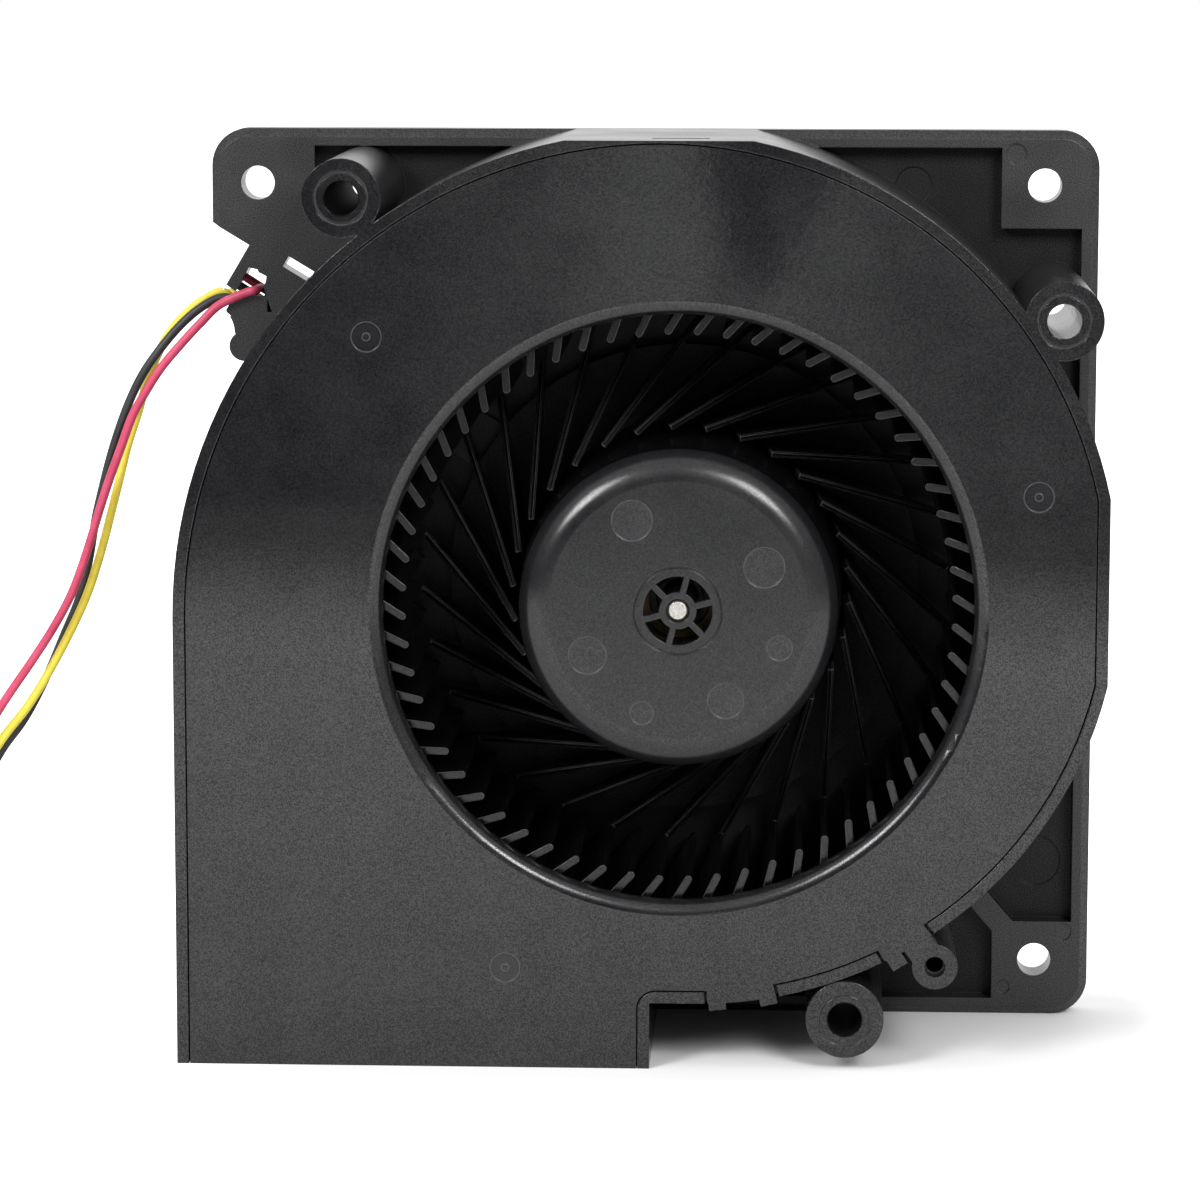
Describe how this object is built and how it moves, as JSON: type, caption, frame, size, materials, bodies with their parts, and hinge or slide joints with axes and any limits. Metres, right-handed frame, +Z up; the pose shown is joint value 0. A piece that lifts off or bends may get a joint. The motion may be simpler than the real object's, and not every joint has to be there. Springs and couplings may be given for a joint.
{
  "type": "centrifugal blower",
  "caption": "Black plastic scroll blower with a round inlet, a backward-leaning bladed rotor on an inner motor, a side outlet, screw bosses and free leads.",
  "frame": {"origin": "below the middle of the casing's box, on the surface that the outlet mouth stands on", "axes": "+X to the right seen from the inlet, +Y away from the inlet towards the rear face, +Z up"},
  "size_m": [0.1965, 0.0614, 0.12],
  "materials": {
    "casing_plastic": "satin moulded",
    "impeller_plastic": "satin moulded",
    "shaft_steel": "ground",
    "yoke_steel": "drawn sheet",
    "ferrite": "pressed",
    "brass": "turned",
    "bearing_steel": "polished",
    "core_steel": "stamped sheets",
    "nylon": "moulded",
    "copper": "enamelled",
    "board": "lacquered",
    "chip": "moulded",
    "ceramic": "fired",
    "lead_red": "extruded",
    "lead_yellow": "extruded",
    "lead_black": "extruded",
    "tie": "moulded",
    "connector": "moulded"
  },
  "bodies": {
    "casing": {"housing": "casing_plastic", "front_cover": "casing_plastic", "bearing_tube": "brass", "bearing_outer_races": "bearing_steel", "stator_core": "core_steel", "front_insulator": "nylon", "rear_insulator": "nylon", "stator_windings": "copper", "terminal_pins": "copper", "circuit_board": "board", "hall_sensor": "chip", "drive_chip": "chip", "board_parts": "ceramic", "lead_tail_red": "lead_red", "lead_tail_yellow": "lead_yellow", "lead_tail_black": "lead_black", "wire_red": "lead_red", "wire_yellow": "lead_yellow", "wire_black": "lead_black", "wire_coil": "lead_black", "coil_tie": "tie", "connector_body": "connector", "connector_contacts": "brass"},
    "rotor": {"impeller": "impeller_plastic", "shaft": "shaft_steel", "rotor_yoke": "yoke_steel", "magnet_ring": "ferrite", "bearing_inner_races": "bearing_steel", "bearing_balls": "bearing_steel", "preload_spring": "shaft_steel", "retaining_clip": "shaft_steel"}
  },
  "joints": [
    {"name": "rotor_spin", "type": "hinge", "parent": "casing", "child": "rotor", "pos_m": [0.005, 0, 0.06], "axis": [0, -1, 0], "continuous": true}
  ]
}
